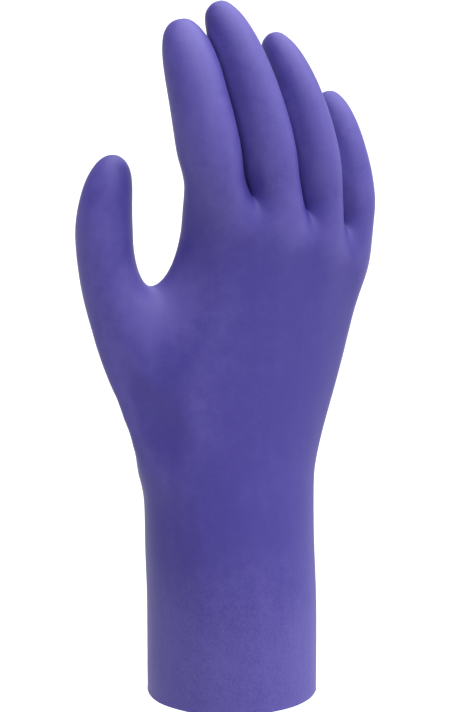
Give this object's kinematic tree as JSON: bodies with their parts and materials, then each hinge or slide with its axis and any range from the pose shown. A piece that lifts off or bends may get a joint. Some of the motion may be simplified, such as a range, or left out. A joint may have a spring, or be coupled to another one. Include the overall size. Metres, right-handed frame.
{
  "type": "nitrile exam glove",
  "caption": "Long-cuffed disposable exam glove in its worn, rounded form: open wrist, hollow palm, four slightly bent fingers and an opposed thumb, one thin seamless film.",
  "frame": {"origin": "centre of the open wrist end, in the plane of the cuff's rim, where a forearm goes in and holds the glove up", "axes": "+Z from the cuff's rim to the fingertips, +Y towards the palm side and -Y towards the back of the hand, -X towards the thumb"},
  "size_m": [0.125, 0.0698, 0.2908],
  "materials": {
    "nitrile_film": "satin violet-blue nitrile film"
  },
  "bodies": {
    "root": {"glove": "nitrile_film"}
  },
  "joints": []
}
